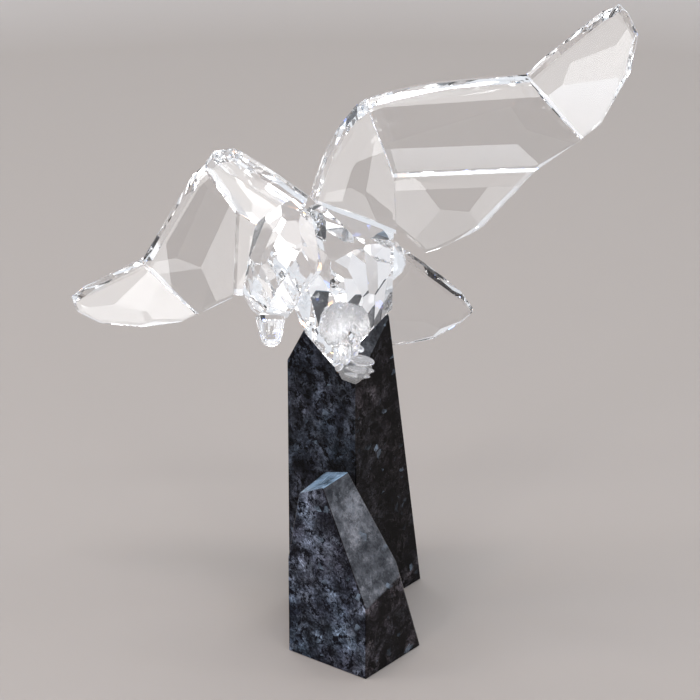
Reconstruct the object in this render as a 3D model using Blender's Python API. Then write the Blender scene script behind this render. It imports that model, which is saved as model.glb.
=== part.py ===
"""Cut-crystal eagle alighting on two leaning blocks of dark granite.

Metres, +Z up, the front towards -Y. The origin is the middle of the tall
block's underside. Every gem is sawn from a rough with flat cuts, as a real
cutter works, and the gems meet along glue lines.
"""
from math import cos, pi, radians, sin

import bmesh
import bpy
from mathutils import Matrix, Vector

for old in list(bpy.data.objects):
    bpy.data.objects.remove(old, do_unlink=True)

# Glue line left between touching pieces
GLUE = 0.0003
# Edges shorter than this are closed up after the cuts
SLIVER = 0.00002

# Granite blocks: their faces stand corner-on to the front
BLOCK_TURN = radians(-38)
TALL_WIDTH = 0.0562
TALL_DEPTH = 0.0715
SHORT_WIDTH = 0.0624
SHORT_DEPTH = 0.0605
# The short block stands this far along the tall block's front left face
SHORT_SHIFT = 0.0492
EASED_EDGE = 0.0005

# Heights at which the sloping cuts cross the blocks' corners
SEAT_HEIGHT = 0.167
SHOULDER_RISE = 0.0017
TALL_SHOULDER = SEAT_HEIGHT + SHOULDER_RISE
PEAK_RISE = 0.0545
TALL_HEIGHT = SEAT_HEIGHT + PEAK_RISE
SHORT_NOSE = 0.049
SHORT_SHOULDER = 0.0655
SHORT_CAP = 0.1094
SHORT_BACK = -0.005
SHORT_BREAK = -0.0104

# Steepness of each sloping cut, as its rise along the block's width and depth
SEAT_RISE = (-0.735, 1.02)
TALL_LEFT_RISE = (1.75, 0.35)
TALL_BACK_RISE = (-1.5, -5.5)
SHORT_FRONT_RISE = (-2.17, 0.285)
SHORT_CAP_RISE = (0.48, 0.10)
SHORT_LEFT_RISE = (5.1, 0.9)
SHORT_BACK_RISE = (-0.76, -2.85)
SHORT_BREAK_RISE = (-3.06, -2.69)

# The bird is drawn in its own millimetres, shares of the wingspan
WINGSPAN = 0.373
MM = WINGSPAN / 376
# How far the bird stands out from the perch towards the front, in its own millimetres
BIRD_FORWARD = 14.0

# Crystal plates, in the bird's millimetres
ARM_THICKNESS = 14.0
WING_THICKNESS = 10.0
TIP_THICKNESS = 8.5
TAIL_THICKNESS = 9.0
GIRDLE = 1.1
# Neighbouring facets along an edge differ in width by this share each way
FACET_VARIETY = 0.2

# Beak: girth at its root in the bird's millimetres, shares of it, and its facets
BEAK_GIRTH = 8.8
BEAK_TAPER = 0.40
BEAK_SHOULDER = 0.72
BEAK_CLOSE = 1.02
BEAK_DEPTH = 0.95
BEAK_FLUTE = 0.045
BEAK_FLUTES = 6
BEAK_SIDES = 24
BEAK_RINGS = 14

# Feathers on the thighs, in the bird's millimetres
FEATHER_LENGTH = 5.0
FEATHER_LIFT = 0.2
FEATHER_RADIUS = 2.6
FEATHER_FAN = radians(150)
# Share of the thigh's radius at which the feathers lie
FEATHER_SINK = 0.84
# Shares of the thigh: where the first tier starts, and how its girth swells
FEATHER_START = 0.8
THIGH_TOP = 0.1
THIGH_SWELL = 0.82
# How far the sole's rough runs back into the stone that trims it, and where its front lies;
# the grain of the casting and the share of faces kept
SOLE_SINK = 12.0
SOLE_BACK = -(BIRD_FORWARD + SOLE_SINK)
SOLE_FRONT = 11.5
LEG_GRAIN = 0.8
LEG_DETAIL = 0.16

# Points of the pose from the perch, the front corner of the seat: right, back, up
POSE = {
    "left_shoulder": (-28.1, 7.4, 122.3),
    "left_wrist": (6.2, -2.6, 188.4),
    "left_bend": (23.2, 19.4, 134.5),
    "left_root": (24.4, 32.7, 92.7),
    "left_elbow": (25.0, 32.2, 94.9),
    "left_hand": (101.9, -28.6, 212.0),
    "left_notch": (112.9, 0.3, 145.0),
    "left_heel": (137.4, -14.6, 169.1),
    "left_tip": (153.0, -46.6, 260.2),
    "right_shoulder": (-29.6, 23.4, 117.0),
    "right_wrist": (-94.0, 37.4, 133.6),
    "right_bend": (-75.5, 54.4, 99.1),
    "right_elbow": (-59.8, 54.5, 90.0),
    "right_root": (-38.0, 54.5, 80.0),
    "right_hand": (-137.8, 67.4, 58.7),
    "right_notch": (-80.0, 85.7, 28.5),
    "right_heel": (-103.7, 90.2, 14.2),
    "right_tip": (-186.7, 85.4, 25.3),
    "tail_root": (21.8, 63.4, 58.9),
    "tail_end": (73.0, 104.0, 3.0),
    "tail_heel": (29.9, 97.4, -10.9),
    "shoulder": (-24.6, 9.4, 89.3),
    "back": (-2.8, 31.4, 66.9),
    "belly": (-19.6, 1.4, 54.9),
    "keel": (-10.4, 2.7, 13.4),
    "flank": (19.5, 28.0, 42.0),
    "core": (-7.0, 15.0, 52.0),
    "link": (15.0, 47.0, 66.0),
    "link_end": (20.0, 60.0, 60.5),
    "nape": (-43.0, 0.5, 108.5),
    "neck": (-41.5, -14.6, 91.6),
    "crown": (-51.8, -28.6, 74.0),
    "beak_root": (-52.4, -36.6, 60.5),
    "beak_bend": (-52.2, -42.0, 51.5),
    "beak_end": (-51.8, -44.0, 43.8),
}

# Edge of the rough cube that a rounded gem is sawn from
ROUGH = 1.33 * WINGSPAN
# Balls whose hull gives each rounded gem its form: pose point and radius
BODY = (("shoulder", 31), ("back", 27), ("belly", 22), ("keel", 8),
        ("left_root", 5), ("left_shoulder", 6), ("flank", 4))
BODY_BACK = (("core", 25), ("left_root", 7), ("left_shoulder", 7), ("right_shoulder", 7),
             ("right_root", 5), ("link", 7), ("keel", 5), ("flank", 4))
LINK = (("link", 14), ("link_end", 12.5))
HEAD = (("neck", 21), ("crown", 19), ("nape", 19))
# Egg that rounds each hull: middle, and half its width, depth and height
BODY_EGG = ((-6, 17, 56), (36, 40, 48))
LINK_EGG = ((17.5, 53.5, 63.2), (15, 18, 15))
HEAD_EGG = ((-45.6, -16.0, 88.5), (25, 30, 36))
EGG_SHARE = 0.45
# Every other facet of a gem is cut deeper or shallower by this share each way
UNEVEN = 0.02

# Outlines seen from the front along the drawing direction: right, rise
BODY_OUTLINE = ((23.8, 97.3), (22.8, 47.7), (-12.8, 10.0), (-31.2, 31.6), (-38.7, 47.6))
HEAD_OUTLINE = ((-61.6, 98.5), (-69.4, 57.0), (-68.5, 48.7), (-64.6, 42.2), (-61.3, 39.3),
                (-43.8, 39.2), (-20.6, 71.0), (-30.0, 116.5), (-37.0, 115.4), (-46.0, 110.4),
                (-57.0, 102.4), (-61.6, 98.5))
SOLE_OUTLINE = ((-8.5, 3.2), (-0.2, 0.8), (10.5, 8.0), (9.0, 15.0), (-6.0, 17.0), (-14.0, 13.5))

# The legs in the drawing plane: two ends as right, rise, forward, and the radius
THIGHS = (((-11.0, 43.0, 39.0), (-13.5, 34.5, 34.0), 9.8), ((0.5, 43.0, 37.0), (2.0, 36.5, 32.0), 7.2))
TUFTS = (((-19.5, 36.0, 35.5), (-19.4, 31.5, 32.5), 3.2), ((-17.2, 31.5, 33.5), (-16.6, 27.0, 30.5), 3.0),
         ((-13.6, 30.0, 33.0), (-13.0, 25.6, 29.5), 3.0), ((-10.0, 31.0, 34.0), (-9.4, 27.2, 31.0), 2.8),
         ((-7.4, 34.0, 36.0), (-7.0, 31.0, 34.0), 2.6), ((6.2, 36.5, 31.0), (6.2, 32.6, 28.0), 2.6),
         ((3.0, 34.0, 31.0), (1.6, 28.5, 27.0), 3.0), ((0.6, 31.0, 30.0), (-0.2, 26.2, 26.0), 2.2))
SHANKS = (((-8.5, 32.0, 31.5), (-6.5, 16.0, 17.0), 4.8), ((0.5, 32.0, 28.5), (-1.0, 18.0, 16.5), 3.0))
TOES = (((-3.5, 16.2, 17.0), (9.2, 14.4, 4.0), 3.3), ((-5.0, 11.4, 15.0), (9.6, 9.6, 0.5), 2.5),
        ((-6.0, 7.4, 13.0), (8.2, 6.0, -0.5), 2.1), ((0.5, 23.4, 19.0), (3.4, 21.8, 15.5), 2.3),
        ((-8.5, 14.5, 14.0), (-11.0, 10.5, 8.0), 2.8))
# Tiers of feathers down each thigh: how many abreast
FEATHER_TIERS = (3, 4, 3)

# Rows of facets round a gem: angle from its axis, number, turn in steps
BODY_ROWS = ((24, 6, 0.2), (38, 10, 0.5), (52, 14, 0.1), (66, 17, 0.5), (80, 18, 0), (94, 18, 0.5),
             (110, 15, 0.1))
# Steep rows behind, which throw the light back out at the front
BODY_BACK_ROWS = ((128, 15, 0.2), (141, 11, 0.5))
LINK_ROWS = ((30, 5, 0), (55, 9, 0.5), (80, 12, 0), (100, 12, 0.5), (122, 8, 0.3))
HEAD_ROWS = ((14, 5, 0), (32, 10, 0.5), (50, 14, 0), (68, 17, 0.5), (84, 19, 0), (99, 20, 0.5),
             (114, 19, 0.2), (129, 17, 0.5), (144, 13, 0.2), (158, 7, 0.5))


# Angle from which the bird is drawn, down from the level
DRAWN_FROM = radians(22.5)
DRAWING = Matrix.Rotation(pi / 2 - DRAWN_FROM, 4, "X")


def pose(name):
    return Vector(POSE[name]) * MM


def forward():
    """From the perch to the bird's own origin."""
    return DRAWING.col[2].xyz * BIRD_FORWARD * MM


def granite():
    mat = bpy.data.materials.new("granite")
    mat.use_nodes = True
    shader = mat.node_tree.nodes["Principled BSDF"]
    shader.inputs["Base Color"].default_value = (0.045, 0.052, 0.062, 1)
    shader.inputs["Metallic"].default_value = 0.0
    shader.inputs["Roughness"].default_value = 0.35
    return mat


def crystal():
    mat = bpy.data.materials.new("crystal")
    mat.use_nodes = True
    shader = mat.node_tree.nodes["Principled BSDF"]
    shader.inputs["Base Color"].default_value = (0.96, 0.98, 1.0, 1)
    shader.inputs["Metallic"].default_value = 0.0
    shader.inputs["Roughness"].default_value = 0.02
    shader.inputs["Transmission Weight"].default_value = 1.0
    shader.inputs["IOR"].default_value = 1.56
    return mat


def saw(bm, point, normal):
    """Cut away what lies past a plane and close the cut with one flat face."""
    geom = bm.verts[:] + bm.edges[:] + bm.faces[:]
    bmesh.ops.bisect_plane(bm, geom=geom, dist=1e-7, plane_co=point,
                           plane_no=normal, clear_outer=True)
    rim = [edge for edge in bm.edges if edge.is_boundary]
    if rim:
        bmesh.ops.edgeloop_fill(bm, edges=rim)


def block(width, depth, height):
    """A squared rough that stands on the origin."""
    bm = bmesh.new()
    bmesh.ops.create_cube(bm, size=1)
    bmesh.ops.scale(bm, vec=(width, depth, height), verts=bm.verts)
    bmesh.ops.translate(bm, vec=(0, 0, height / 2), verts=bm.verts)
    return bm


def slope(bm, corner, rise, grow=0.0):
    """Saw off what stands above a sloping plane through a point."""
    normal = Vector((-rise[0], -rise[1], 1)).normalized()
    saw(bm, Vector(corner) + normal * grow, normal)


def finish(name, bm, mat, matrix, parent=None):
    """Turn a sawn gem or block into a placed object."""
    bmesh.ops.dissolve_degenerate(bm, dist=SLIVER, edges=bm.edges)
    bmesh.ops.recalc_face_normals(bm, faces=bm.faces)
    mesh = bpy.data.meshes.new(name)
    bm.to_mesh(mesh)
    bm.free()
    if mat:
        mesh.materials.append(mat)
    thing = bpy.data.objects.new(name, mesh)
    bpy.context.collection.objects.link(thing)
    thing.parent = parent
    thing.matrix_basis = matrix
    return thing


def ease_edges(thing):
    bevel = thing.modifiers.new("eased_edges", "BEVEL")
    bevel.width = EASED_EDGE
    bevel.segments = 1
    bevel.limit_method = "ANGLE"
    bevel.angle_limit = radians(12)


def block_matrix(x, y):
    turn = Matrix.Rotation(BLOCK_TURN, 4, "Z")
    return turn @ Matrix.Translation((x, y, 0))


def tall_rough(grow=0.0):
    """The leaning pillar, whose sloping top is the bird's seat."""
    half_w, half_d = TALL_WIDTH / 2, TALL_DEPTH / 2
    bm = block(TALL_WIDTH + 2 * grow, TALL_DEPTH + 2 * grow, TALL_HEIGHT + grow)
    slope(bm, (half_w, half_d, 0), TALL_BACK_RISE, grow)
    slope(bm, (-half_w, -half_d, TALL_SHOULDER), TALL_LEFT_RISE, grow)
    slope(bm, (half_w, -half_d, SEAT_HEIGHT), SEAT_RISE, grow)
    return bm


def tall_stone(mat):
    stone = finish("tall_stone", tall_rough(), mat, block_matrix(0, 0))
    ease_edges(stone)


def short_stone(mat):
    """Front block with one long sloping face towards the right."""
    half_w, half_d = SHORT_WIDTH / 2, SHORT_DEPTH / 2
    bm = block(SHORT_WIDTH, SHORT_DEPTH, TALL_HEIGHT)
    slope(bm, (half_w, -half_d, SHORT_NOSE), SHORT_FRONT_RISE)
    slope(bm, (-half_w, -half_d, SHORT_CAP), SHORT_CAP_RISE)
    slope(bm, (-half_w, -half_d, SHORT_SHOULDER), SHORT_LEFT_RISE)
    slope(bm, (half_w, half_d, SHORT_BACK), SHORT_BACK_RISE)
    slope(bm, (half_w, half_d, SHORT_BREAK), SHORT_BREAK_RISE)
    x = SHORT_SHIFT + (SHORT_WIDTH - TALL_WIDTH) / 2
    y = -(TALL_DEPTH + SHORT_DEPTH) / 2 - GLUE
    stone = finish("short_stone", bm, mat, block_matrix(x, y))
    ease_edges(stone)


def perch():
    """An empty in front of the seat's front corner, which carries the bird."""
    corner = (TALL_WIDTH / 2, -TALL_DEPTH / 2)
    bird = bpy.data.objects.new("bird", None)
    bpy.context.collection.objects.link(bird)
    turn = Matrix.Rotation(BLOCK_TURN, 3, "Z")
    bird.location = turn @ Vector((*corner, SEAT_HEIGHT)) + forward()
    return bird


def seat_normal():
    turn = Matrix.Rotation(BLOCK_TURN, 3, "Z")
    return turn @ Vector((-SEAT_RISE[0], -SEAT_RISE[1], 1)).normalized()


# Planes along which two gems are glued, as a point and a direction
def seam(start, end, *plates):
    """The joint along a line, square to the mean of the plates that meet there."""
    face = sum((plate.col[2].xyz for plate in plates), Vector())
    return (start, (end - start).cross(face).normalized())


def plate_frame(origin, along, trail):
    """X runs out along the plate, Y towards its leading edge, Z square to it."""
    x = (along - origin).normalized()
    y = origin - trail
    y = (y - x * y.dot(x)).normalized()
    z = x.cross(y)
    frame = Matrix((x, y, z)).transposed().to_4x4()
    frame.translation = origin
    return frame


# Facets along a plate's edges, as (inset, drop) rows on its front and back, both as
# shares of half its thickness
LEAD = (((0.40, 0.85), (0.72, 0.42), (1.02, 0.22)), ((0.77, 0.85), (1.32, 0.48), (1.73, 0.27)))
WIDE = (((0.40, 0.85), (0.85, 0.55), (1.50, 0.38), (2.20, 0.27)),
        ((0.80, 0.85), (1.50, 0.62), (2.20, 0.48), (3.00, 0.36)))
FREE = (((0.40, 0.72),), ((0.80, 0.80), (1.30, 0.38)))
SEAM = (((0.1, 0.1),), ((0.1, 0.1),))
CUFF = (((0.70, 0.75), (1.35, 0.50)), ((0.90, 0.75), (1.80, 0.50)))
BAND = (((1.9, 0.56),), ((0.1, 0.1),))
# Kite facets where two leading edges meet: inset and drop on the front and the back
KITE = ((0.95, 0.60), (1.10, 0.70))
# Slant of the bevel on a gem behind a plate glued to it, and its distance from it
COLLAR_SLANT = radians(40)
COLLAR = 0.7


def plate(outline, styles, thickness, back_cuts=(), front=1):
    """A gem plate: a prism with facets sawn along each edge and on its back."""
    points = [Vector((x, y, 0)) * MM for x, y in outline]
    half = thickness * MM / 2
    bm = bmesh.new()
    rim = [bm.verts.new(point - Vector((0, 0, half))) for point in points]
    face = bm.faces.new(rim)
    top = bmesh.ops.extrude_face_region(bm, geom=[face])["geom"]
    lifted = [v for v in top if isinstance(v, bmesh.types.BMVert)]
    bmesh.ops.translate(bm, vec=(0, 0, 2 * half), verts=lifted)
    bmesh.ops.recalc_face_normals(bm, faces=bm.faces)
    middle = sum(points, Vector()) / len(points)
    limit = half - GIRDLE * MM / 2

    def facet(point, outward, side, inset, drop):
        drop = min(drop * half, limit)
        normal = outward * drop + Vector((0, 0, side * inset * half))
        saw(bm, point + Vector((0, 0, side * (half - drop))), normal.normalized())

    before = None
    for index, style in enumerate(styles):
        start, end = points[index], points[(index + 1) % len(points)]
        outward = (end - start).cross(Vector((0, 0, 1))).normalized()
        if outward.dot(start - middle) < 0:
            outward.negate()
        widen = 1 + FACET_VARIETY * (-1) ** index
        for side, rows, kite in zip((front, -front), style, KITE):
            for inset, drop in rows:
                facet(start, outward, side, inset * widen, drop)
            if style in (LEAD, WIDE) and before:
                facet(start, (outward + before).normalized(), side, *kite)
        before = outward if style in (LEAD, WIDE) else None
    for (x, y), heading, tilt in back_cuts:
        away = Vector((cos(radians(heading)), sin(radians(heading)), 0))
        normal = away * sin(radians(tilt)) - Vector((0, 0, front * cos(radians(tilt))))
        saw(bm, Vector((x, y, 0)) * MM - Vector((0, 0, front * half)), normal)
    return bm


def middle_of(bm):
    return sum((vert.co for vert in bm.verts), Vector()) / len(bm.verts)


def trim(bm, frame, *joints):
    """Saw a gem back to its side of each joint, half a glue line short of it."""
    back = frame.inverted()
    middle = middle_of(bm)
    for point, normal in joints:
        point = back @ point
        normal = (back.to_3x3() @ normal).normalized()
        if normal.dot(middle - point) > 0:
            normal.negate()
        saw(bm, point - normal * GLUE / 2, normal)


def between(start, end, share):
    """A joint square to the line between two pose points, a share of the way."""
    start, end = pose(start), pose(end)
    return (start.lerp(end, share), (end - start).normalized())


def collar(bm, joint, frame, thickness):
    """Bevel a gem behind the plate that will be glued to its joint."""
    point, normal = joint
    if normal.dot(middle_of(bm) - point) > 0:
        normal = -normal
    face = frame.col[2].xyz
    if face.y < 0:
        face = -face
    slant = normal * cos(COLLAR_SLANT) + face * sin(COLLAR_SLANT)
    saw(bm, point + face * (thickness / 2 + COLLAR) * MM, slant)


def profile(bm, outline, grow=0.0):
    """Saw a gem to an outline seen along the drawing direction."""
    middle = middle_of(bm)
    points = [DRAWING @ (Vector((x, y, 0)) * MM) for x, y in outline]
    for start, end in zip(points, points[1:]):
        normal = (end - start).cross(DRAWING.col[2].xyz).normalized()
        if normal.dot(middle - start) > 0:
            normal.negate()
        saw(bm, start + normal * grow, normal)


def reach(balls, egg, direction):
    """How far a hull of balls, rounded by an egg, goes in a direction."""
    hull = max(centre.dot(direction) + radius for centre, radius in balls)
    if egg is None:
        return hull
    middle, halves = (Vector(numbers) * MM for numbers in egg)
    oval = middle.dot(direction) + (halves * direction).length
    return hull * (1 - EGG_SHARE) + oval * EGG_SHARE


def rough():
    bm = bmesh.new()
    bmesh.ops.create_cube(bm, size=ROUGH)
    return bm


def facet_rows(bm, balls, egg, axis, rows, grow=0.0):
    """Cut rows of facets about an axis, each on the rounded hull of some balls."""
    balls = [(pose(name), radius * MM) for name, radius in balls]
    side = axis.orthogonal().normalized()
    other = axis.cross(side)
    for polar, count, phase in rows:
        for step in range(count):
            angle = 2 * pi * (step + phase) / count
            radial = side * cos(angle) + other * sin(angle)
            normal = axis * cos(radians(polar)) + radial * sin(radians(polar))
            heart = balls[0][0].dot(normal)
            depth = (reach(balls, egg, normal) - heart) * (1 + UNEVEN * (-1) ** step)
            saw(bm, normal * (heart + depth + grow), normal)


# Wing plates' frames
LEFT_ARM = plate_frame(pose("left_shoulder"), pose("left_wrist"), pose("left_bend"))
LEFT_MID = plate_frame(pose("left_wrist"), pose("left_hand"), pose("left_bend"))
LEFT_IN = plate_frame(pose("left_bend"), pose("left_notch"), pose("left_elbow"))
LEFT_TIP = plate_frame(pose("left_hand"), pose("left_tip"), pose("left_heel"))
RIGHT_ARM = plate_frame(pose("right_shoulder"), pose("right_wrist"), pose("right_bend"))
RIGHT_MID = plate_frame(pose("right_wrist"), pose("right_hand"), pose("right_bend"))
RIGHT_IN = plate_frame(pose("right_bend"), pose("right_notch"), pose("right_elbow"))
RIGHT_TIP = plate_frame(pose("right_hand"), pose("right_tip"), pose("right_heel"))

TAIL = plate_frame(pose("tail_root"), pose("tail_end"), pose("tail_heel"))
# The tail's outline in its own frame; its first and last points lie on the joint
TAIL_FAN = ((0, 14.4), (29.5, 13.8), (58.3, 14.5), (82.3, 9.5), (83.7, -4.1), (80.9, -22.7),
            (66.2, -41.2), (56, -51), (44, -57.5), (16, -34), (-8, -8))

LEFT_ROOT_JOINT = seam(pose("left_root"), pose("left_shoulder"), LEFT_ARM)
LEFT_WRIST_JOINT = seam(pose("left_bend"), pose("left_wrist"), LEFT_ARM, LEFT_MID)
LEFT_ELBOW_JOINT = seam(pose("left_elbow"), pose("left_bend"), LEFT_ARM, LEFT_IN)
LEFT_BAND_JOINT = seam(pose("left_bend"), pose("left_notch"), LEFT_MID, LEFT_IN)
LEFT_HAND_JOINT = seam(pose("left_heel"), pose("left_hand"), LEFT_MID, LEFT_TIP)
RIGHT_ROOT_JOINT = seam(pose("right_root"), pose("right_shoulder"), RIGHT_ARM)
RIGHT_WRIST_JOINT = seam(pose("right_bend"), pose("right_wrist"), RIGHT_ARM, RIGHT_MID)
RIGHT_ELBOW_JOINT = seam(pose("right_elbow"), pose("right_bend"), RIGHT_ARM, RIGHT_IN)
RIGHT_BAND_JOINT = seam(pose("right_bend"), pose("right_notch"), RIGHT_MID, RIGHT_IN)
RIGHT_HAND_JOINT = seam(pose("right_heel"), pose("right_hand"), RIGHT_MID, RIGHT_TIP)
TAIL_JOINT = seam(*(TAIL @ (Vector((*TAIL_FAN[i], 0)) * MM) for i in (-1, 0)), TAIL)
LINK_JOINT = between("back", "link", 0.93)
NECK_JOINT = between("shoulder", "neck", 0.68)
BEAK_JOINT = between("crown", "beak_root", 0.9)
SEAT_JOINT = (seat_normal() * GLUE / 2 - forward(), seat_normal())


def left_wing(bird, mat):
    arm = plate(
        ((-6, -1), (16, 4.2), (34, 7), (52, 7), (69, 4), (76, 0), (32.6, -44), (-4, -66), (-12, -66)),
        (WIDE, WIDE, WIDE, WIDE, LEAD, SEAM, SEAM, SEAM, SEAM), ARM_THICKNESS,
        (((36, -12), 86, 10), ((14, -22), 168, 8), ((34, -26), 290, 9), ((58, -14), 24, 9)))
    trim(arm, LEFT_ARM, LEFT_ROOT_JOINT, LEFT_WRIST_JOINT, LEFT_ELBOW_JOINT)
    finish("left_wing_arm", arm, mat, LEFT_ARM, bird)
    middle = plate(
        ((-1, 0), (13, 3.4), (30, 4.7), (46, 5), (72, 3.2), (102, 0), (122, -54), (89, -73), (-2, -61)),
        (LEAD, LEAD, LEAD, WIDE, WIDE, SEAM, FREE, SEAM, SEAM), WING_THICKNESS,
        (((50, -28), 100, 7), ((26, -14), 128, 10), ((84, -18), 12, 9), ((64, -50), 262, 8),
         ((88, -44), 318, 7)))
    trim(middle, LEFT_MID, LEFT_WRIST_JOINT, LEFT_HAND_JOINT, LEFT_BAND_JOINT)
    finish("left_wing_middle", middle, mat, LEFT_MID, bird)
    inner = plate(
        ((0, 1), (92, 1), (66, -27), (51, -43), (41, -49.5), (26, -57), (10.5, -62), (-5.5, -41)),
        (BAND, FREE, FREE, FREE, FREE, FREE, FREE, SEAM), WING_THICKNESS,
        (((22, -24), 205, 8), ((36, -32), 262, 9), ((50, -24), 322, 8), ((34, -12), 84, 4)))
    trim(inner, LEFT_IN, LEFT_ELBOW_JOINT, LEFT_BAND_JOINT)
    finish("left_wing_inner", inner, mat, LEFT_IN, bird)
    tip = plate(
        ((0, 1), (20, 2.6), (42, 3.2), (62, 3), (72.6, 0), (72, -8.5), (66.7, -23), (46, -40),
         (8, -56.5), (-8, -57)),
        (LEAD, LEAD, LEAD, LEAD, LEAD, LEAD, FREE, FREE, FREE, SEAM), TIP_THICKNESS,
        (((38, -16), 72, 7), ((24, -30), 236, 8), ((52, -20), 326, 7), ((16, -16), 120, 8)))
    trim(tip, LEFT_TIP, LEFT_HAND_JOINT)
    finish("left_wing_tip", tip, mat, LEFT_TIP, bird)


def right_wing(bird, mat):
    arm = plate(
        ((-8, -6), (15, 8), (26, 14), (45, 23.5), (53, 24), (64, 15.5), (69, 0), (45.5, -37),
         (28, -44), (0, -52)),
        (WIDE, WIDE, WIDE, WIDE, LEAD, LEAD, CUFF, CUFF, FREE, SEAM), ARM_THICKNESS,
        (((38, -2), 84, 9), ((14, -14), 186, 8), ((46, -12), 322, 9), ((26, -24), 262, 8)), -1)
    trim(arm, RIGHT_ARM, RIGHT_ROOT_JOINT, RIGHT_WRIST_JOINT, RIGHT_ELBOW_JOINT)
    finish("right_wing_arm", arm, mat, RIGHT_ARM, bird)
    middle = plate(
        ((-1, 0), (12, 3.3), (35, 2.6), (66, 1), (92, 0), (119, -54), (95, -68), (25, -35)),
        (LEAD, LEAD, LEAD, LEAD, SEAM, FREE, SEAM, SEAM), WING_THICKNESS,
        (((44, -14), 82, 8), ((82, -26), 4, 11), ((58, -34), 262, 12), ((18, -16), 176, 8)), -1)
    trim(middle, RIGHT_MID, RIGHT_WRIST_JOINT, RIGHT_HAND_JOINT, RIGHT_BAND_JOINT)
    finish("right_wing_middle", middle, mat, RIGHT_MID, bird)
    inner = plate(
        ((0, 1), (77.5, 1), (74.5, -10), (65, -33), (37, -41), (8, -17.5)),
        (BAND, FREE, FREE, FREE, FREE, SEAM), WING_THICKNESS,
        (((40, -14), 290, 12), ((24, -12), 214, 7)), -1)
    trim(inner, RIGHT_IN, RIGHT_ELBOW_JOINT, RIGHT_BAND_JOINT)
    finish("right_wing_inner", inner, mat, RIGHT_IN, bird)
    tip = plate(
        ((0, 1), (47, 3), (61.6, 0.4), (67, -10), (62.5, -28), (44, -47), (16, -60.5), (4, -60.5)),
        (LEAD, LEAD, LEAD, LEAD, FREE, FREE, FREE, SEAM), TIP_THICKNESS,
        (((30, -18), 74, 7), ((22, -34), 236, 12), ((44, -22), 326, 12)), -1)
    trim(tip, RIGHT_TIP, RIGHT_HAND_JOINT)
    finish("right_wing_tip", tip, mat, RIGHT_TIP, bird)


def body_rough(grow=0.0):
    bm = rough()
    facet_rows(bm, BODY, BODY_EGG, DRAWING.col[2].xyz, BODY_ROWS, grow)
    facet_rows(bm, BODY_BACK, None, DRAWING.col[2].xyz, BODY_BACK_ROWS, grow)
    profile(bm, BODY_OUTLINE, grow)
    return bm


def body(bird, mat):
    """Large gem that carries every other, with one flat on the seat."""
    bm = body_rough()
    trim(bm, Matrix.Identity(4), LEFT_ROOT_JOINT, RIGHT_ROOT_JOINT, LINK_JOINT,
         NECK_JOINT, SEAT_JOINT)
    collar(bm, LEFT_ROOT_JOINT, LEFT_ARM, ARM_THICKNESS)
    collar(bm, RIGHT_ROOT_JOINT, RIGHT_ARM, ARM_THICKNESS)
    finish("body", bm, mat, Matrix.Identity(4), bird)


def rump(bird, mat):
    """Short link between the body and the tail."""
    bm = rough()
    facet_rows(bm, LINK, LINK_EGG, (pose("link_end") - pose("link")).normalized(), LINK_ROWS)
    trim(bm, Matrix.Identity(4), LINK_JOINT, TAIL_JOINT)
    finish("rump", bm, mat, Matrix.Identity(4), bird)


def tail(bird, mat):
    bm = plate(
        TAIL_FAN, (LEAD, LEAD, LEAD, FREE, FREE, FREE, FREE, FREE, LEAD, LEAD, SEAM),
        TAIL_THICKNESS, (((40, -8), 66, 8), ((52, -28), 304, 12), ((22, -12), 196, 7)))
    trim(bm, TAIL, TAIL_JOINT)
    finish("tail", bm, mat, TAIL, bird)


def head(bird, mat):
    """Neck and head, one gem with smaller facets than the body's."""
    bm = rough()
    facet_rows(bm, HEAD, HEAD_EGG, (pose("crown") - pose("neck")).normalized(), HEAD_ROWS)
    profile(bm, HEAD_OUTLINE)
    trim(bm, Matrix.Identity(4), NECK_JOINT, BEAK_JOINT)
    finish("head", bm, mat, Matrix.Identity(4), bird)


def beak(bird, mat):
    """Blunt fluted beak, bent a little backwards towards its end."""
    bm = bmesh.new()
    path = [pose(name) for name in ("beak_root", "beak_bend", "beak_end")]
    rings = []
    for step in range(BEAK_RINGS + 1):
        t = step / BEAK_RINGS
        centre = path[0].lerp(path[1], t).lerp(path[1].lerp(path[2], t), t)
        heading = (path[1] - path[0]).lerp(path[2] - path[1], t).normalized()
        side = Vector((1, 0, 0))
        front = heading.cross(side).normalized()
        girth = BEAK_GIRTH * MM * (1 - BEAK_TAPER * t)
        if t > BEAK_SHOULDER:
            girth *= (1 - ((t - BEAK_SHOULDER) / (BEAK_CLOSE - BEAK_SHOULDER)) ** 2) ** 0.5
        ring = []
        for number in range(BEAK_SIDES):
            angle = 2 * pi * number / BEAK_SIDES
            size = girth * (1 + BEAK_FLUTE * cos(BEAK_FLUTES * angle))
            offset = side * cos(angle) + front * sin(angle) * BEAK_DEPTH
            ring.append(bm.verts.new(centre + offset * size))
        rings.append(ring)
    for upper, lower in zip(rings, rings[1:]):
        for number in range(BEAK_SIDES):
            after = (number + 1) % BEAK_SIDES
            bm.faces.new((upper[number], upper[after], lower[after], lower[number]))
    bm.faces.new(rings[0])
    bm.faces.new(rings[-1])
    bmesh.ops.recalc_face_normals(bm, faces=bm.faces)
    trim(bm, Matrix.Identity(4), BEAK_JOINT)
    thing = finish("beak", bm, mat, Matrix.Identity(4), bird)
    smooth(thing)


def smooth(thing):
    for face in thing.data.polygons:
        face.use_smooth = len(face.vertices) < 5


def lump(bm, start, end, radius):
    """A rounded lump that runs from one point to another."""
    start, end = Vector(start) * MM, Vector(end) * MM
    along = end - start
    half = Vector((radius, radius, radius)) * MM + Vector((0, 0, along.length / 2))
    turn = along.to_track_quat("Z", "Y").to_matrix().to_4x4()
    matrix = Matrix.Translation((start + end) / 2) @ turn @ Matrix.Diagonal((*half, 1))
    bmesh.ops.create_icosphere(bm, subdivisions=2, radius=1, matrix=matrix)


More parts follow.
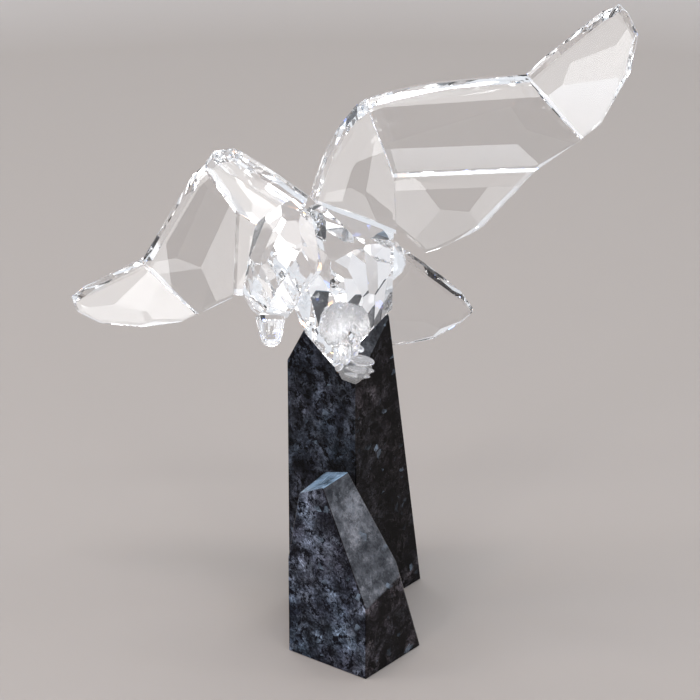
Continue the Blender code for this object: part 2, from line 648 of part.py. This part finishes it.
def feathers(bm, start, end, radius):
    """Overlapping tiers of rounded feathers over the front of a thigh."""
    start, end = Vector(start), Vector(end)
    down = (end - start).normalized()
    side = down.cross(Vector((0, 0, 1))).normalized()
    out = side.cross(down)
    top, bottom = start - down * radius, end + down * radius
    for tier, number in enumerate(FEATHER_TIERS):
        share = (tier + FEATHER_START) / len(FEATHER_TIERS)
        spread = radius * sin(pi * (THIGH_TOP + THIGH_SWELL * share)) ** 0.5
        for feather in range(number):
            angle = FEATHER_FAN * ((feather + 0.5) / number - 0.5)
            away = side * sin(angle) + out * cos(angle)
            centre = top.lerp(bottom, share) + away * spread * FEATHER_SINK
            tip = centre + down * FEATHER_LENGTH + away * FEATHER_LIFT
            lump(bm, centre, tip, FEATHER_RADIUS)


def cutter(name, bm, matrix, parent=None):
    """A hidden copy of a neighbour that the legs are cut back from."""
    thing = finish(name, bm, None, matrix, parent)
    thing.hide_render = True
    thing.display_type = "WIRE"
    return thing


def legs(bird, mat):
    """Both feathered thighs and gripping feet, pressed as one piece of glass."""
    bm = bmesh.new()
    for start, end, radius in THIGHS + TUFTS + SHANKS + TOES:
        lump(bm, start, end, radius)
    for start, end, radius in THIGHS:
        feathers(bm, start, end, radius)
    rim = [bm.verts.new(Vector((x, y, SOLE_BACK)) * MM) for x, y in SOLE_OUTLINE]
    face = bm.faces.new(rim)
    top = bmesh.ops.extrude_face_region(bm, geom=[face])["geom"]
    lifted = [v for v in top if isinstance(v, bmesh.types.BMVert)]
    bmesh.ops.translate(bm, vec=(0, 0, (SOLE_FRONT - SOLE_BACK) * MM), verts=lifted)
    thing = finish("legs", bm, mat, DRAWING, bird)
    remesh = thing.modifiers.new("one_piece", "REMESH")
    remesh.mode = "VOXEL"
    remesh.voxel_size = LEG_GRAIN * MM
    fewer = thing.modifiers.new("fewer_faces", "DECIMATE")
    fewer.ratio = LEG_DETAIL
    stone = cutter("seat_cutter", tall_rough(GLUE), block_matrix(0, 0))
    gem = cutter("body_cutter", body_rough(GLUE), Matrix.Identity(4), bird)
    for neighbour in (stone, gem):
        cut = thing.modifiers.new("clear_of_" + neighbour.name, "BOOLEAN")
        cut.operation = "DIFFERENCE"
        cut.solver = "EXACT"
        cut.object = neighbour


GRANITE = granite()
tall_stone(GRANITE)
short_stone(GRANITE)
BIRD = perch()
CRYSTAL = crystal()
body(BIRD, CRYSTAL)
rump(BIRD, CRYSTAL)
tail(BIRD, CRYSTAL)
head(BIRD, CRYSTAL)
beak(BIRD, CRYSTAL)
legs(BIRD, CRYSTAL)
left_wing(BIRD, CRYSTAL)
right_wing(BIRD, CRYSTAL)
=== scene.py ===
"""Looks of the cut-crystal eagle on its two blocks of dark granite."""
from math import cos, pi, radians, sin

import bmesh
import bpy
from mathutils import Matrix, Vector


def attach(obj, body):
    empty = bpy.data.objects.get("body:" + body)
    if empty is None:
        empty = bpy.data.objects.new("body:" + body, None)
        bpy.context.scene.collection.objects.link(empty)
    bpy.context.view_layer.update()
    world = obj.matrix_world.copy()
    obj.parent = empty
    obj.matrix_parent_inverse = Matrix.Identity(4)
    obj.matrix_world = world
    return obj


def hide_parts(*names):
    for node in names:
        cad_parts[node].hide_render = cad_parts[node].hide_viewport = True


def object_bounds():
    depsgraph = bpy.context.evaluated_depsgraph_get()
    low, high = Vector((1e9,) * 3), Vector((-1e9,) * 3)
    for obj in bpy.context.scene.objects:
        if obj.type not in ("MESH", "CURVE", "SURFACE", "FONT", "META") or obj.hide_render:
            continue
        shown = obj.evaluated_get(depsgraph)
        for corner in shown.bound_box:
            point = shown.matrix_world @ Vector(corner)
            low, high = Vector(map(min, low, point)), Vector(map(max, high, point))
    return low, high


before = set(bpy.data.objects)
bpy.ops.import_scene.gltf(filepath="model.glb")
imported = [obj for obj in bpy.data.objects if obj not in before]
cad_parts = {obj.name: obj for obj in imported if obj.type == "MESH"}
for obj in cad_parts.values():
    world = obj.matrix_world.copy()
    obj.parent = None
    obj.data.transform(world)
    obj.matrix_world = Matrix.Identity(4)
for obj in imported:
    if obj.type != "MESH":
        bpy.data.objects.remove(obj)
CAD_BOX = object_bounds()


# The bird's own millimetres in metres, where its origin stands, and the angle it is drawn from
MM = 0.000992
BIRD_PLACE = (0.00013, -0.0583, 0.1723)
DRAWN_FROM = radians(22.5)

# Lumps of the pressed legs: two ends as right, rise, forward in the bird's millimetres, and a radius
THIGHS = (((-11.0, 43.0, 39.0), (-13.5, 34.5, 34.0), 9.8), ((0.5, 43.0, 37.0), (2.0, 36.5, 32.0), 7.2),
          ((-7.0, 46.0, 40.5), (-1.5, 44.0, 38.5), 6.0))
TUFTS = (((-19.5, 36.0, 35.5), (-19.4, 31.5, 32.5), 3.2), ((-17.2, 31.5, 33.5), (-16.6, 27.0, 30.5), 3.0),
         ((-13.6, 30.0, 33.0), (-13.0, 25.6, 29.5), 3.0), ((-10.0, 31.0, 34.0), (-9.4, 27.2, 31.0), 2.8),
         ((-7.4, 34.0, 36.0), (-7.0, 31.0, 34.0), 2.6), ((6.2, 36.5, 31.0), (6.2, 32.6, 28.0), 2.6),
         ((3.0, 34.0, 31.0), (1.6, 28.5, 27.0), 3.0), ((0.6, 31.0, 30.0), (-0.2, 26.2, 26.0), 2.2))
SHANKS = (((-8.5, 32.0, 31.5), (-6.5, 16.0, 17.0), 4.8), ((0.5, 32.0, 28.5), (-1.0, 18.0, 16.5), 3.0))
TOES = (((-3.5, 16.4, 17.5), (8.8, 14.2, 10.0), 3.5), ((-5.0, 10.4, 15.0), (9.8, 8.5, 8.0), 2.2),
        ((-6.0, 6.6, 12.5), (7.6, 4.9, 6.8), 1.8), ((0.5, 23.4, 19.0), (3.4, 21.8, 15.5), 2.3),
        ((-8.5, 14.5, 14.5), (-11.2, 10.0, 9.0), 2.7))
SOLE_OUTLINE = ((-8.5, 3.2), (-0.2, 0.2), (10.3, 7.6), (9.0, 15.0), (-6.0, 17.0), (-13.6, 13.0))
# Layers of the sole, front to back: how far forward each ends, and its size
SOLE_LAYERS = ((7.0, 0.72), (6.2, 0.80), (3.6, 0.84), (2.8, 0.92), (0.2, 0.96), (-0.8, 1.04))
SOLE_BACK = -26.0
# Edge of the cells that melt the lumps into one, and the rounds of smoothing after that
LEG_GRAIN = 0.45
SMOOTHING = 2
# Gap kept to the body and the stone, in metres
CLEARANCE = 0.0003

# Feathers pressed into the thighs, above their floor and in front of their back: rows to a
# millimetre, width of a feather, height of its scallop in rows, and depth of the relief
THIGH_FLOOR = 23.0
THIGH_BACK = 20.0
FEATHER_ROWS = 0.17
FEATHER_WIDTH = 4.2
FEATHER_SCALLOP = 0.6
FEATHER_DEPTH = 0.8
# Height over which they fade in, and the waves of the rows: size in rows, turn to a millimetre
FEATHER_FADE = 4
ROW_WAVE = 0.3
ROW_WAVE_TURN = (1.3, 0.7)
# Even number that keeps the count of rows above nought
ROW_START = 40
# The clear feet meet the frosted thighs along a hem that waves by this much
HEM_WAVE = 1.5

# Crystal: refraction, the faint tint and the scale of its clouds, and the stretch of a noise
# that the polish follows
REFRACTION = 1.56
TINT = (0.965, 0.975, 0.985, 1)
WHITE = (1, 1, 1, 1)
TINT_SCALE = 35
POLISH_RANGE = (0.5, 0.8)
# Height of bumps at full strength, in metres
BUMP_DISTANCE = 0.0002
# Share of light let through, roughness from and to, strength of the bumps and their scale
CUT_FINISH = (1.0, (0.0, 0.03), 0.0, 60)
FROSTED_FINISH = (0.78, (0.02, 0.15), 0.30, 320)
MOULDED_FINISH = (0.78, (0.0, 0.04), 0.05, 140)

# Layers of the granite: scale, detail and roughness of a noise, then the stops of its ramp
CLOUDS = ((48, 7, 0.62), (0.32, (0.004, 0.004, 0.006)), (0.48, (0.016, 0.017, 0.021)),
          (0.60, (0.040, 0.044, 0.052)), (0.74, (0.110, 0.122, 0.140)))
TINGE = ((22, 3, 0.5), (0.35, (0.86, 1.0, 1.06)), (0.6, (1.06, 1.0, 1.0)))
FINE_GRAIN = ((620, 4, 0.75), (0.36, 0.35), (0.50, 0.95), (0.64, 2.3))
PATCHES = ((64, 4, 0.62), (0.38, 0.35), (0.64, 2.1))
WISPS = ((34, 6, 0.68), (0.47, 0.0), (0.5, 0.6), (0.53, 0.0))
WISP_PLACES = ((70, 3, 0.5), (0.45, 0.0), (0.62, 1.0))
SPECKS = ((170, 7, 0.78), (0.51, 0.0), (0.55, 1.0))
# The long slope's streaks: the streaked grain is the stone's own, the lighter tone is painted light where
# the slope faces up
LIT_SLOPE_STREAKS = ((36, 8, 0.78), (0.38, (0.026, 0.029, 0.034)), (0.52, (0.095, 0.102, 0.115)),
           (0.66, (0.29, 0.30, 0.33)))
# Painted sheen: a pale blue laid on the level top, which faces up to the sky
PAINTED_TOP_SHEEN = ((120, 5, 0.6), (0.36, (0.05, 0.075, 0.10)), (0.6, (0.25, 0.36, 0.48)))
FLAKE_PLACES = ((60, 3, 0.5), (0.50, 0.0), (0.62, 1.0))
FLAKE_EDGES = ((340, 5, 0.8), (0.34, 0.0), (0.52, 1.0))
STONE_POLISH = ((300, 3, 0.5), (0.35, 0.14), (0.7, 0.30))
# Cells of the granite: scale and feature, then the stops
CRYSTALS = ((150, "SMOOTH_F1"), (0.2, 0.45), (0.8, 1.6))
FLAKES = ((260, "F1"), (0.82, 0.0), (0.92, 0.9))
# Painted light and shade, by the way a face is turned: the direction, then the stops for how far a face
# is turned to it. Left faces are painted lighter and right faces darker, the long slope lighter, and the
# level top gets a pale blue sheen
LIT_LEFT_SHADED_RIGHT_FACES = ((-1, 0, 0), (0.53, (0.40, 0.33, 0.315)), (0.78, (0.92, 0.97, 1.06)))
LIT_LONG_SLOPE = ((0.45, -0.35, 0.82), (0.82, 0.0), (0.92, 0.92))
SHEEN_ON_LEVEL_TOP = ((0, 0, 1), (0.90, 0.0), (0.94, 0.95))
# Colours of the wisps, specks and flakes, on the ground and on the long slope; the slope's are lighter,
# painted light where it faces up to the lamps
WISP_COLOUR = (0.13, 0.14, 0.16)
SPECK_COLOUR = (0.002, 0.002, 0.003)
FLAKE_COLOUR = (0.20, 0.26, 0.33)
LIT_SLOPE_WISP_COLOUR = (0.22, 0.24, 0.27)
LIT_SLOPE_SPECK_COLOUR = (0.018, 0.020, 0.024)
SLOPE_SPECK_SHARE = (0.5, 0.5, 0.5)
# How the noises are stirred: scale and detail of the stir, and how far it moves them in metres
STIR = (90, 4)
STIR_REACH = (0.006, 0.006, 0.006)
# Polished surface: its shine, and the strength and noise of its bumps
STONE_SPECULAR = 0.08
STONE_BUMP = 0.10
STONE_DENTS = (420, 3, 0.5)
# Each block's brightness, and where in the noises it is taken from
TALL_BLOCK = (0.95, (0.0, 0.0, 0.0))
SHORT_BLOCK = (2.35, (0.31, 0.12, 0.05))

# Camera: millimetres of lens on a sensor 36 mm wide
LENS = 144
SENSOR = 36
CAMERA_PLACE = (-0.00355, -1.6736, 0.8646)
CAMERA_PITCH = radians(67.5)
CAMERA_CLIP = (0.05, 50)

# Round floor that sweeps up into a wall all about, and its paper
FLOOR_RADIUS = 2.6
SWEEP_RADIUS = 1.0
WALL_HEIGHT = 1.4
FLOOR_SIDES = 96
SWEEP_STEPS = 16
PAPER_NEAR = 1.3
PAPER_COLOUR = (0.375, 0.342, 0.312, 1)
PAPER_FAR_COLOUR = (0.86, 0.85, 0.84, 1)
PAPER_ROUGHNESS = 0.7

# Soft lamps about the bird: azimuth and elevation in degrees, size in metres, brightness
BIRD_CENTRE = Vector((-0.02, -0.02, 0.28))
LAMP_DISTANCE = 2.4
SOFTBOXES = (
    (-30, 80, (0.7, 0.7), 8), (-4, 52, (1.1, 0.25), 7), (-28, 30, (0.2, 0.8), 8),
    (27, 27, (0.18, 0.7), 7), (-80, 38, (0.35, 0.8), 7), (84, 42, (0.3, 0.7), 5),
    (-150, 36, (0.4, 0.4), 4), (150, 32, (0.5, 0.3), 3))
# Narrow warm and cool rims on two sides of each lamp, which the crystal shows as coloured glints
RIM_SHARE = 0.16
RIMS = ((-1, (1.0, 0.42, 0.12)), (1, (0.16, 0.30, 1.0)))
# White cards that lie low in front and at the left: middle, size, brightness, and how the names
# of the pieces that they light start, where that isn't all of them
CARDS = (((0.0, -0.57), (1.2, 0.64), 3.2, ""), ((-0.28, -0.11), (0.34, 0.28), 2.8, "right_wing"),
         ((-0.35, -0.13), (0.22, 0.24), 0.34, "head"))
CARD_SPREAD = radians(150)
CARD_HEIGHT = 0.01
SKY_LOW = (0.72, 0.75, 0.80, 1)
SKY_HIGH = (0.90, 0.93, 0.98, 1)
SKY_LOW_UNTIL = 0.1

# Light goes through many faces of cut crystal
BOUNCES = 28
GLOSSY_BOUNCES = 16
TRANSMISSION_BOUNCES = 24


def placed(name, data):
    """A new object in the scene."""
    thing = bpy.data.objects.new(name, data)
    bpy.context.collection.objects.link(thing)
    return thing


def meshed(name, bm):
    """A new object in the scene from a finished shape."""
    mesh = bpy.data.meshes.new(name)
    bm.to_mesh(mesh)
    bm.free()
    return placed(name, mesh)


def nodes_of(name):
    """A new material, its node tree and its shader."""
    mat = bpy.data.materials.new(name)
    mat.use_nodes = True
    tree = mat.node_tree
    return mat, tree, tree.nodes["Principled BSDF"]


def add(tree, kind, **settings):
    """Add a node; settings are its properties, or its inputs' values by name."""
    node = tree.nodes.new("ShaderNode" + kind)
    for key, value in settings.items():
        if hasattr(node, key):
            setattr(node, key, value)
        else:
            node.inputs[key.replace("_", " ").title()].default_value = value
    return node


def dented(tree, shader, strength, height):
    """Bumps on a shader."""
    dent = add(tree, "Bump", strength=strength, distance=BUMP_DISTANCE)
    tree.links.new(height, dent.inputs["Height"])
    tree.links.new(dent.outputs["Normal"], shader.inputs["Normal"])


def crystal(name, clearness, roughness, bump, grain):
    """Clear crystal with a faint tint, and bumps and haze where it was pressed."""
    mat, tree, shader = nodes_of(name)
    link = tree.links.new
    place = add(tree, "TexCoord")
    shader.inputs["Transmission Weight"].default_value = clearness
    shader.inputs["IOR"].default_value = REFRACTION
    cloud = add(tree, "TexNoise", scale=TINT_SCALE, detail=3)
    link(place.outputs["Object"], cloud.inputs["Vector"])
    tint = add(tree, "ValToRGB")
    tint.color_ramp.elements[0].color = TINT
    tint.color_ramp.elements[1].color = WHITE
    link(cloud.outputs["Fac"], tint.inputs["Fac"])
    link(tint.outputs["Color"], shader.inputs["Base Color"])
    polish = add(tree, "TexNoise", scale=grain, detail=4)
    link(place.outputs["Object"], polish.inputs["Vector"])
    rough = add(tree, "MapRange", from_min=POLISH_RANGE[0], from_max=POLISH_RANGE[1],
                to_min=roughness[0], to_max=roughness[1])
    link(polish.outputs["Fac"], rough.inputs["Value"])
    link(rough.outputs["Result"], shader.inputs["Roughness"])
    dented(tree, shader, bump, polish.outputs["Fac"])
    return mat


def granite(name, lift, shift):
    """Dark pearly granite: clouds, soft crystals, black specks, wisps and blue flakes.

    Light and shade are painted on by the way each face is turned: painted light on the left faces and the
    long slope, painted shade on the right faces, and a painted pale blue sheen on the level top.
    """
    mat, tree, shader = nodes_of(name)
    link = tree.links.new
    place = add(tree, "TexCoord").outputs["Object"]

    def noise(scale, detail, spread):
        node = add(tree, "TexNoise", scale=scale, detail=detail, roughness=spread)
        link(warped, node.inputs["Vector"])
        return node.outputs["Fac"]

    def ramp(value, *stops):
        node = add(tree, "ValToRGB")
        link(value, node.inputs["Fac"])
        points = node.color_ramp.elements
        while len(points) < len(stops):
            points.new(0.5)
        for point, (position, colour) in zip(points, stops):
            point.position = position
            point.color = (*colour, 1) if isinstance(colour, tuple) else (colour,) * 3 + (1,)
        return node.outputs["Color"]

    def layer(grain, *stops):
        return ramp(noise(*grain), *stops)

    def cells(grain, *stops):
        scale, feature = grain
        node = add(tree, "TexVoronoi", feature=feature, scale=scale)
        link(warped, node.inputs["Vector"])
        return ramp(node.outputs["Color"], *stops)

    def facing(direction, *stops):
        """How far a face is turned towards a direction, through a ramp."""
        shape = add(tree, "NewGeometry")
        turned = add(tree, "VectorMath", operation="DOT_PRODUCT")
        link(shape.outputs["True Normal"], turned.inputs[0])
        turned.inputs[1].default_value = direction
        half = add(tree, "MapRange", from_min=-1)
        link(turned.outputs["Value"], half.inputs["Value"])
        return ramp(half.outputs["Result"], *stops)

    def mix(share, first, second, kind="MIX"):
        node = add(tree, "Mix", data_type="RGBA", blend_type=kind)
        for socket, value in ((node.inputs[0], share), (node.inputs[6], first),
                              (node.inputs[7], second)):
            if isinstance(value, tuple):
                socket.default_value = (*value, 1)
            elif isinstance(value, float):
                socket.default_value = value
            else:
                link(value, socket)
        return node.outputs[2]

    def times(first, second):
        return mix(1.0, first, second, "MULTIPLY")

    scale, detail = STIR
    stir = add(tree, "TexNoise", scale=scale, detail=detail)
    link(place, stir.inputs["Vector"])
    warp = add(tree, "VectorMath", operation="MULTIPLY_ADD")
    link(stir.outputs["Color"], warp.inputs[0])
    warp.inputs[1].default_value = STIR_REACH
    link(place, warp.inputs[2])
    moved = add(tree, "VectorMath", operation="ADD")
    link(warp.outputs["Vector"], moved.inputs[0])
    moved.inputs[1].default_value = shift
    warped = moved.outputs["Vector"]

    ground = times(layer(*CLOUDS), layer(*TINGE))
    ground = times(ground, cells(*CRYSTALS))
    ground = times(ground, layer(*FINE_GRAIN))
    ground = times(ground, layer(*PATCHES))
    wisps = times(layer(*WISPS), layer(*WISP_PLACES))
    ground = mix(wisps, ground, WISP_COLOUR)
    specks = layer(*SPECKS)
    ground = mix(specks, ground, SPECK_COLOUR)
    ground = times(ground, (lift, lift, lift))
    # Painted light and shade: faces turned to the left are lighter, faces turned to the right darker
    ground = times(ground, facing(*LIT_LEFT_SHADED_RIGHT_FACES))

    # Painted light: the long slope, turned up to the lamps, is painted lighter, with streaks, wisps and
    # specks of its own
    lit_slope = mix(times(specks, SLOPE_SPECK_SHARE), layer(*LIT_SLOPE_STREAKS), LIT_SLOPE_SPECK_COLOUR)
    lit_slope = mix(wisps, lit_slope, LIT_SLOPE_WISP_COLOUR)
    ground = mix(facing(*LIT_LONG_SLOPE), ground, lit_slope)
    # Painted sheen: the level top turns pale blue
    ground = mix(facing(*SHEEN_ON_LEVEL_TOP), ground, layer(*PAINTED_TOP_SHEEN))
    flakes = times(cells(*FLAKES), layer(*FLAKE_PLACES))
    flakes = times(flakes, layer(*FLAKE_EDGES))
    ground = mix(flakes, ground, FLAKE_COLOUR)
    link(ground, shader.inputs["Base Color"])

    shader.inputs["Specular IOR Level"].default_value = STONE_SPECULAR
    link(layer(*STONE_POLISH), shader.inputs["Roughness"])
    dented(tree, shader, STONE_BUMP, noise(*STONE_DENTS))
    return mat


def paper():
    """Pale studio paper, lighter where it sweeps up far behind."""
    mat, tree, shader = nodes_of("floor_paper")
    link = tree.links.new
    place = add(tree, "TexCoord")
    far = add(tree, "VectorMath", operation="LENGTH")
    link(place.outputs["Object"], far.inputs[0])
    reach = add(tree, "MapRange", from_min=PAPER_NEAR, from_max=FLOOR_RADIUS)
    link(far.outputs["Value"], reach.inputs["Value"])
    shade = add(tree, "ValToRGB")
    shade.color_ramp.elements[0].color = PAPER_COLOUR
    shade.color_ramp.elements[1].color = PAPER_FAR_COLOUR
    link(reach.outputs["Result"], shade.inputs["Fac"])
    link(shade.outputs["Color"], shader.inputs["Base Color"])
    shader.inputs["Roughness"].default_value = PAPER_ROUGHNESS
    return mat


def lump(bm, start, end, radius):
    """A rounded lump that runs from one point to another."""
    start, end = Vector(start), Vector(end)
    along = end - start
    half = (radius, radius, radius + along.length / 2)
    turn = along.to_track_quat("Z", "Y").to_matrix().to_4x4()
    matrix = Matrix.Translation((start + end) / 2) @ turn @ Matrix.Diagonal((*half, 1))
    bmesh.ops.create_icosphere(bm, subdivisions=3, radius=1, matrix=matrix)


def sole(bm):
    """Layered slab under the toes, each layer smaller than the one behind it."""
    middle = sum((Vector(point) for point in SOLE_OUTLINE), Vector((0, 0))) / len(SOLE_OUTLINE)
    for ahead, size in SOLE_LAYERS:
        rim = [bm.verts.new((*(middle + (Vector(point) - middle) * size), SOLE_BACK))
               for point in SOLE_OUTLINE]
        slab = bmesh.ops.extrude_face_region(bm, geom=[bm.faces.new(rim)])["geom"]
        lifted = [v for v in slab if isinstance(v, bmesh.types.BMVert)]
        bmesh.ops.translate(bm, vec=(0, 0, ahead - SOLE_BACK), verts=lifted)


def press_feathers(mesh):
    """Push the thighs' surface out in rows of scalloped, overlapping feathers."""
    for vert in mesh.vertices:
        right, rise, ahead = vert.co
        if rise < THIGH_FLOOR or ahead < THIGH_BACK:
            continue
        turn = ROW_WAVE_TURN[0] * right + ROW_WAVE_TURN[1] * rise
        row = ROW_START - rise * FEATHER_ROWS + ROW_WAVE * sin(turn)
        across = right / FEATHER_WIDTH + 0.5 * (int(row) % 2)
        row += FEATHER_SCALLOP * (2 * (across % 1) - 1) ** 2
        fade = min(1, (rise - THIGH_FLOOR) / FEATHER_FADE)
        vert.co += vert.normal * FEATHER_DEPTH * fade * (row % 1 - 0.5)


def grown_copy(name, thing, grow):
    """A copy of a gem or block, scaled up so that its corners stand out further by about this."""
    bm = bmesh.new()
    bm.from_mesh(thing.data)
    bmesh.ops.transform(bm, matrix=thing.matrix_world, verts=bm.verts)
    middle = sum((v.co for v in bm.verts), Vector()) / len(bm.verts)
    reach = sum((v.co - middle).length for v in bm.verts) / len(bm.verts)
    bmesh.ops.scale(bm, vec=(1 + grow / reach,) * 3, space=Matrix.Translation(-middle), verts=bm.verts)
    return meshed(name, bm)


def applied(thing):
    """Turn an object's modifiers into plain mesh."""
    shape = bpy.data.meshes.new_from_object(thing.evaluated_get(bpy.context.evaluated_depsgraph_get()))
    thing.modifiers.clear()
    thing.data = shape


def pressed_legs(thigh_mat, foot_mat):
    """Feathered thighs and gripping feet, one pressed piece, frosted above and clear below."""
    bm = bmesh.new()
    for start, end, radius in THIGHS + TUFTS + SHANKS + TOES:
        lump(bm, start, end, radius)
    sole(bm)
    thing = meshed("pressed_legs", bm)
    remesh = thing.modifiers.new("one_piece", "REMESH")
    remesh.mode = "VOXEL"
    remesh.voxel_size = LEG_GRAIN
    soften = thing.modifiers.new("soften", "SMOOTH")
    soften.iterations = SMOOTHING
    applied(thing)
    press_feathers(thing.data)
    place = Matrix.Translation(BIRD_PLACE) @ Matrix.Rotation(pi / 2 - DRAWN_FROM, 4, "X")
    thing.data.transform(place @ Matrix.Scale(MM, 4))
    cutters = [grown_copy("clear_of_" + name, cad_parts[name], CLEARANCE)
               for name in ("body", "tall_stone")]
    for cutter in cutters:
        cut = thing.modifiers.new(cutter.name, "BOOLEAN")
        cut.operation = "DIFFERENCE"
        cut.solver = "MANIFOLD"
        cut.object = cutter
    applied(thing)
    for cutter in cutters:
        bpy.data.objects.remove(cutter)
    thing.data.materials.clear()
    thing.data.materials.append(thigh_mat)
    thing.data.materials.append(foot_mat)
    back = place.inverted()
    for face in thing.data.polygons:
        face.use_smooth = True
        right, rise = (back @ face.center).xy / MM
        face.material_index = int(rise < THIGH_FLOOR + HEM_WAVE * sin(right))
    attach(thing, "root")
    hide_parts("legs")


def dress(thing, mat):
    for slot in thing.material_slots:
        slot.material = mat


def floor():
    """A round studio floor, one smooth sweep from the level up into a wall."""
    rings = [(FLOOR_RADIUS / 2, 0.0), (FLOOR_RADIUS, 0.0)]
    for step in range(1, SWEEP_STEPS + 1):
        angle = pi / 2 * step / SWEEP_STEPS
        rings.append((FLOOR_RADIUS + SWEEP_RADIUS * sin(angle), SWEEP_RADIUS * (1 - cos(angle))))
    rings.append((FLOOR_RADIUS + SWEEP_RADIUS, WALL_HEIGHT))
    bm = bmesh.new()
    centre = bm.verts.new((0, 0, 0))
    loops = []
    for radius, height in rings:
        loops.append([bm.verts.new((radius * cos(2 * pi * i / FLOOR_SIDES),
                                    radius * sin(2 * pi * i / FLOOR_SIDES), height))
                      for i in range(FLOOR_SIDES)])
    for i in range(FLOOR_SIDES):
        after = (i + 1) % FLOOR_SIDES
        bm.faces.new((centre, loops[0][i], loops[0][after]))
        for inner, outer in zip(loops, loops[1:]):
            bm.faces.new((inner[i], outer[i], outer[after], inner[after]))
    for face in bm.faces:
        face.smooth = True
    thing = meshed("floor", bm)
    thing.data.materials.append(paper())
    thing.location.z = CAD_BOX[0][2]


def lamp(name, size, glow, place, turn):
    """A flat lamp whose power follows its size, so that it is as bright at any size."""
    width, height = size
    data = bpy.data.lights.new(name, "AREA")
    data.shape = "RECTANGLE"
    data.size, data.size_y = width, height
    data.energy = glow * pi * width * height
    thing = placed(name, data)
    thing.location = place
    thing.rotation_euler = turn
    return thing


def softbox(name, azimuth, elevation, size, glow):
    """A soft lamp round the bird; azimuth 0 is on the camera's side, 90 to its right."""
    turn, rise = radians(azimuth), radians(elevation)
    away = Vector((sin(turn) * cos(rise), -cos(turn) * cos(rise), sin(rise)))
    facing = away.to_track_quat("Z", "Y")
    width, height = size
    rim = min(width, height) * RIM_SHARE
    panels = [(0.0, width, (1, 1, 1))]
    panels += [(side * (width + rim) / 2, rim, colour) for side, colour in RIMS]
    for number, (shift, across, colour) in enumerate(panels):
        place = BIRD_CENTRE + away * LAMP_DISTANCE + facing @ Vector((shift, 0, 0))
        thing = lamp(f"{name}_{number}", (across, height), glow, place, facing.to_euler())
        thing.data.color = colour


def card(name, middle, size, glow, lit):
    """A bright card low on the floor, which the wings mirror as pale veils."""
    thing = lamp(name, size, glow, (*middle, CAD_BOX[0][2] + CARD_HEIGHT), (pi, 0, 0))
    thing.data.spread = CARD_SPREAD
    if lit:
        shown = bpy.data.collections.new(name + "_lights")
        for piece_name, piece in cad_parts.items():
            if piece_name.startswith(lit):
                shown.objects.link(piece)
        thing.light_linking.receiver_collection = shown


def studio():
    for number, settings in enumerate(CARDS):
        card(f"card_{number}", *settings)
    for number, settings in enumerate(SOFTBOXES):
        softbox(f"softbox_{number}", *settings)
    world = bpy.data.worlds.new("studio")
    bpy.context.scene.world = world
    world.use_nodes = True
    tree = world.node_tree
    place = add(tree, "TexCoord")
    height = add(tree, "SeparateXYZ")
    tree.links.new(place.outputs["Generated"], height.inputs[0])
    shade = add(tree, "ValToRGB")
    shade.color_ramp.elements[0].position = SKY_LOW_UNTIL
    shade.color_ramp.elements[0].color = SKY_LOW
    shade.color_ramp.elements[1].color = SKY_HIGH
    tree.links.new(height.outputs["Z"], shade.inputs["Fac"])
    tree.links.new(shade.outputs["Color"], tree.nodes["Background"].inputs["Color"])


def camera():
    data = bpy.data.cameras.new("camera")
    data.lens = LENS
    data.sensor_width = SENSOR
    data.clip_start, data.clip_end = CAMERA_CLIP
    thing = placed("camera", data)
    thing.location = CAMERA_PLACE
    thing.rotation_euler = (CAMERA_PITCH, 0, 0)
    bpy.context.scene.camera = thing


def picture():
    """Colours as the studio shows them, and enough bounces for light inside crystal."""
    look = bpy.context.scene
    look.view_settings.view_transform = "Standard"
    look.cycles.max_bounces = BOUNCES
    look.cycles.glossy_bounces = GLOSSY_BOUNCES
    look.cycles.transmission_bounces = TRANSMISSION_BOUNCES


camera()
floor()
studio()
picture()
CUT = crystal("crystal_cut", *CUT_FINISH)
pressed_legs(crystal("crystal_frosted", *FROSTED_FINISH), crystal("crystal_moulded", *MOULDED_FINISH))
STONES = {"tall_stone": granite("granite_tall", *TALL_BLOCK),
          "short_stone": granite("granite_short", *SHORT_BLOCK)}
for node_name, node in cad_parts.items():
    dress(node, STONES.get(node_name, CUT))
